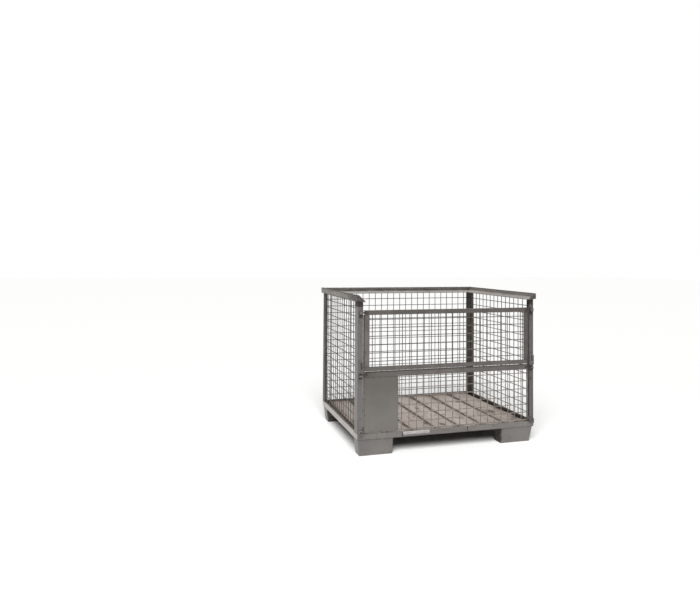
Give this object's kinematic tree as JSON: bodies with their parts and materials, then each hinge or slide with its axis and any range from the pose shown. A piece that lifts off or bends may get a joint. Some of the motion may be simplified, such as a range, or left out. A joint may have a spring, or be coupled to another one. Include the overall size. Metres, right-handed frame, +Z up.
{
  "type": "steel box pallet",
  "caption": "Stackable mesh box pallet with board floor, pressed feet, funnel rim and a front of two flaps that lift out of their latch hooks and fold down.",
  "frame": {"origin": "on the ground under the middle of the box", "axes": "+X along the long side, to the right when the flaps are seen from in front; +Y from the flap side to the back; +Z up"},
  "size_m": [1.24, 0.835, 0.97],
  "materials": {
    "painted_steel": "satin grey paint, scuffed",
    "rim_steel": "satin grey paint, rubbed by stacking",
    "wire_steel": "grey painted wire",
    "flap_steel": "grey paint with a brown cast",
    "bare_steel": "worn bright steel",
    "floor_board": "weathered softwood"
  },
  "bodies": {
    "frame": {"foot_front_left": "painted_steel", "foot_front_right": "painted_steel", "foot_back_left": "painted_steel", "foot_back_right": "painted_steel", "rail_front": "painted_steel", "rail_back": "painted_steel", "rail_left": "painted_steel", "rail_right": "painted_steel", "bearer_front": "painted_steel", "bearer_back": "painted_steel", "sill_strip": "bare_steel", "floor_board_1": "floor_board", "floor_board_2": "floor_board", "floor_board_3": "floor_board", "floor_board_4": "floor_board", "floor_board_5": "floor_board", "floor_board_6": "floor_board", "floor_board_7": "floor_board", "post_front_left": "painted_steel", "post_front_right": "painted_steel", "post_back_left": "painted_steel", "post_back_right": "painted_steel", "rim_back": "rim_steel", "rim_left": "rim_steel", "rim_right": "rim_steel", "rim_end_left": "rim_steel", "rim_end_right": "rim_steel", "mesh_back": "wire_steel", "mesh_left": "wire_steel", "mesh_right": "wire_steel", "upper_guide_left": "painted_steel", "upper_guide_right": "painted_steel", "upper_hook_left": "painted_steel", "upper_hook_right": "painted_steel", "lower_guide_left": "painted_steel", "lower_guide_right": "painted_steel", "lower_hook_left": "painted_steel", "lower_hook_right": "painted_steel"},
    "upper_pins": {"upper_pivot_pin_left": "bare_steel", "upper_pivot_pin_right": "bare_steel"},
    "upper_flap": {"upper_top_bar": "flap_steel", "upper_bottom_bar": "flap_steel", "upper_stile_left": "flap_steel", "upper_stile_right": "flap_steel", "upper_mesh": "wire_steel", "upper_ear_left": "flap_steel", "upper_ear_right": "flap_steel", "upper_latch_pin_left": "bare_steel", "upper_latch_pin_right": "bare_steel"},
    "lower_pins": {"lower_pivot_pin_left": "bare_steel", "lower_pivot_pin_right": "bare_steel"},
    "lower_flap": {"lower_top_bar": "flap_steel", "lower_mesh": "wire_steel", "document_plate": "painted_steel", "lower_ear_left": "flap_steel", "lower_ear_right": "flap_steel", "lower_latch_pin_left": "bare_steel", "lower_latch_pin_right": "bare_steel"}
  },
  "joints": [
    {"name": "upper_lift", "type": "slide", "parent": "frame", "child": "upper_pins", "axis": [0, 0, 1], "range_m": [0, 0.035]},
    {"name": "upper_swing", "type": "hinge", "parent": "upper_pins", "child": "upper_flap", "pos_m": [0, -0.4098, 0.527], "axis": [1, 0, 0], "range_deg": [0, 180]},
    {"name": "lower_lift", "type": "slide", "parent": "frame", "child": "lower_pins", "axis": [0, 0, 1], "range_m": [0, 0.006]},
    {"name": "lower_swing", "type": "hinge", "parent": "lower_pins", "child": "lower_flap", "pos_m": [0, -0.4098, 0.143], "axis": [1, 0, 0], "range_deg": [0, 110]}
  ]
}
